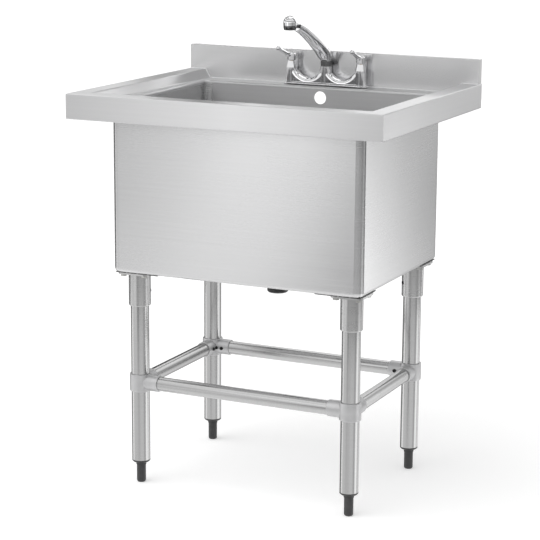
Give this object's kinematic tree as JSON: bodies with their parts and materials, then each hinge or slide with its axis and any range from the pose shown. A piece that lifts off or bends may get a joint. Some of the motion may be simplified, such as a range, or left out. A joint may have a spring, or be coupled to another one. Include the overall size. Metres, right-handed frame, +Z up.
{
  "type": "utility sink",
  "caption": "Free-standing stainless steel utility sink with a deep single bowl, splashback, bridge mixer tap, braced tubular legs and adjustable feet.",
  "frame": {"origin": "on the floor under the middle of the worktop", "axes": "+Z up, the front faces -Y, +X to the right seen from the front"},
  "size_m": [0.74, 0.6, 1.0567],
  "materials": {
    "stainless": "brushed stainless steel sheet and tube",
    "cast_steel": "satin cast stainless steel",
    "plated_steel": "zinc plated steel",
    "dark_steel": "blackened steel",
    "chrome": "polished chrome plate",
    "brass": "machined brass",
    "rubber": "matt black rubber",
    "black_plastic": "moulded black plastic",
    "grey_plastic": "moulded grey plastic"
  },
  "bodies": {
    "frame": {"bonnet_left": "chrome", "bonnet_right": "chrome", "bowl": "stainless", "bowl_back": "stainless", "brace_back": "stainless", "brace_front": "stainless", "brace_left": "stainless", "brace_right": "stainless", "cartridge_left": "brass", "cartridge_right": "brass", "connector_grub_screws": "dark_steel", "corner_connector_back_left": "cast_steel", "corner_connector_back_right": "cast_steel", "corner_connector_front_left": "cast_steel", "corner_connector_front_right": "cast_steel", "leg_back_left": "stainless", "leg_back_right": "stainless", "leg_bush_back_left": "black_plastic", "leg_bush_back_right": "black_plastic", "leg_bush_front_left": "black_plastic", "leg_bush_front_right": "black_plastic", "leg_front_left": "stainless", "leg_front_right": "stainless", "leg_plate_back_left": "stainless", "leg_plate_back_right": "stainless", "leg_plate_front_left": "stainless", "leg_plate_front_right": "stainless", "leg_socket_back_left": "cast_steel", "leg_socket_back_right": "cast_steel", "leg_socket_front_left": "cast_steel", "leg_socket_front_right": "cast_steel", "socket_bolts": "plated_steel", "socket_grub_screws": "dark_steel", "splashback": "stainless", "spout_nut": "chrome", "tail_nuts": "brass", "tail_washers": "brass", "tap_body": "chrome", "tap_gasket": "rubber", "waste_body": "black_plastic", "waste_flange": "stainless", "waste_screw": "stainless", "waste_seal_lower": "rubber", "waste_seal_upper": "rubber", "worktop": "stainless"},
    "spout_swivel_body": {"spout": "chrome", "spout_orings": "rubber", "aerator_housing": "chrome", "aerator_insert": "grey_plastic"},
    "left_lever": {"lever_left": "chrome", "lever_cap_left": "chrome", "spindle_left": "brass"},
    "right_lever": {"lever_right": "chrome", "lever_cap_right": "chrome", "spindle_right": "brass"},
    "front_left_foot": {"foot_front_left": "black_plastic"},
    "front_right_foot": {"foot_front_right": "black_plastic"},
    "back_left_foot": {"foot_back_left": "black_plastic"},
    "back_right_foot": {"foot_back_right": "black_plastic"}
  },
  "joints": [
    {"name": "spout_swivel", "type": "hinge", "parent": "frame", "child": "spout_swivel_body", "pos_m": [0, 0.257, 0.93], "axis": [0, 0, 1], "range_deg": [-90, 90]},
    {"name": "left_lever_turn", "type": "hinge", "parent": "frame", "child": "left_lever", "pos_m": [-0.088, 0.257, 0.94], "axis": [0, 0, 1], "range_deg": [-90, 0]},
    {"name": "right_lever_turn", "type": "hinge", "parent": "frame", "child": "right_lever", "pos_m": [0.088, 0.257, 0.94], "axis": [0, 0, 1], "range_deg": [0, 90]},
    {"name": "front_left_foot_adjust", "type": "slide", "parent": "frame", "child": "front_left_foot", "axis": [0, 0, -1], "range_m": [0, 0.025]},
    {"name": "front_right_foot_adjust", "type": "slide", "parent": "frame", "child": "front_right_foot", "axis": [0, 0, -1], "range_m": [0, 0.025]},
    {"name": "back_left_foot_adjust", "type": "slide", "parent": "frame", "child": "back_left_foot", "axis": [0, 0, -1], "range_m": [0, 0.025]},
    {"name": "back_right_foot_adjust", "type": "slide", "parent": "frame", "child": "back_right_foot", "axis": [0, 0, -1], "range_m": [0, 0.025]}
  ]
}
